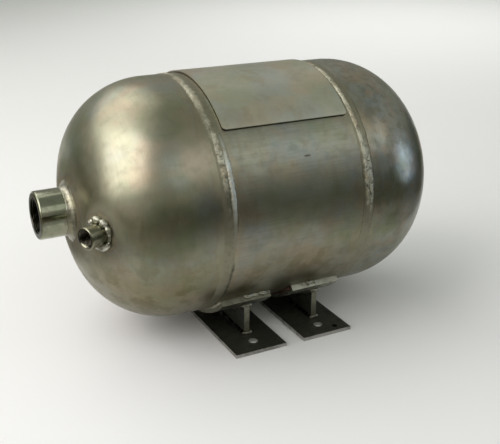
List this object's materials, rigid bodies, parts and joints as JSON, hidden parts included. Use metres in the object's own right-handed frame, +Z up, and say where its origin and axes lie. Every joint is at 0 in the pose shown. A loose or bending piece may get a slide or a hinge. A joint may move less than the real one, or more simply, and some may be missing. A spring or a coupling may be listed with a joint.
{
  "type": "horizontal pressure vessel",
  "caption": "Horizontal stainless steel pressure vessel with deep dished heads, a threaded end coupling, a small side coupling, a curved top pad and welded saddle feet.",
  "frame": {"origin": "on the floor, at the centre of the foot bolt holes", "axes": "+Z up; +X along the vessel axis, away from the main coupling; the side coupling is on the -Y side"},
  "size_m": [0.5573, 0.3286, 0.3552],
  "materials": {
    "stainless": "satin, warm grey, lightly stained",
    "machined": "smooth turned",
    "weld": "rippled weld bead",
    "foot_steel": "plain plate",
    "mill_scale": "black mill scale with bare cut edges"
  },
  "bodies": {
    "root": {"shell": "stainless", "front_head": "stainless", "rear_head": "stainless", "front_girth_weld": "weld", "rear_girth_weld": "weld", "main_coupling": "machined", "main_coupling_weld": "weld", "side_coupling": "machined", "side_coupling_weld": "weld", "top_pad": "stainless", "front_saddle": "foot_steel", "rear_saddle": "foot_steel", "front_saddle_end_weld": "weld", "front_saddle_mid_weld": "weld", "rear_saddle_end_weld": "weld", "rear_saddle_mid_weld": "weld", "front_web": "foot_steel", "rear_web": "foot_steel", "front_web_top_weld": "weld", "rear_web_top_weld": "weld", "front_web_foot_weld": "weld", "rear_web_foot_weld": "weld", "front_base_plate": "mill_scale", "rear_base_plate": "mill_scale"}
  },
  "joints": []
}
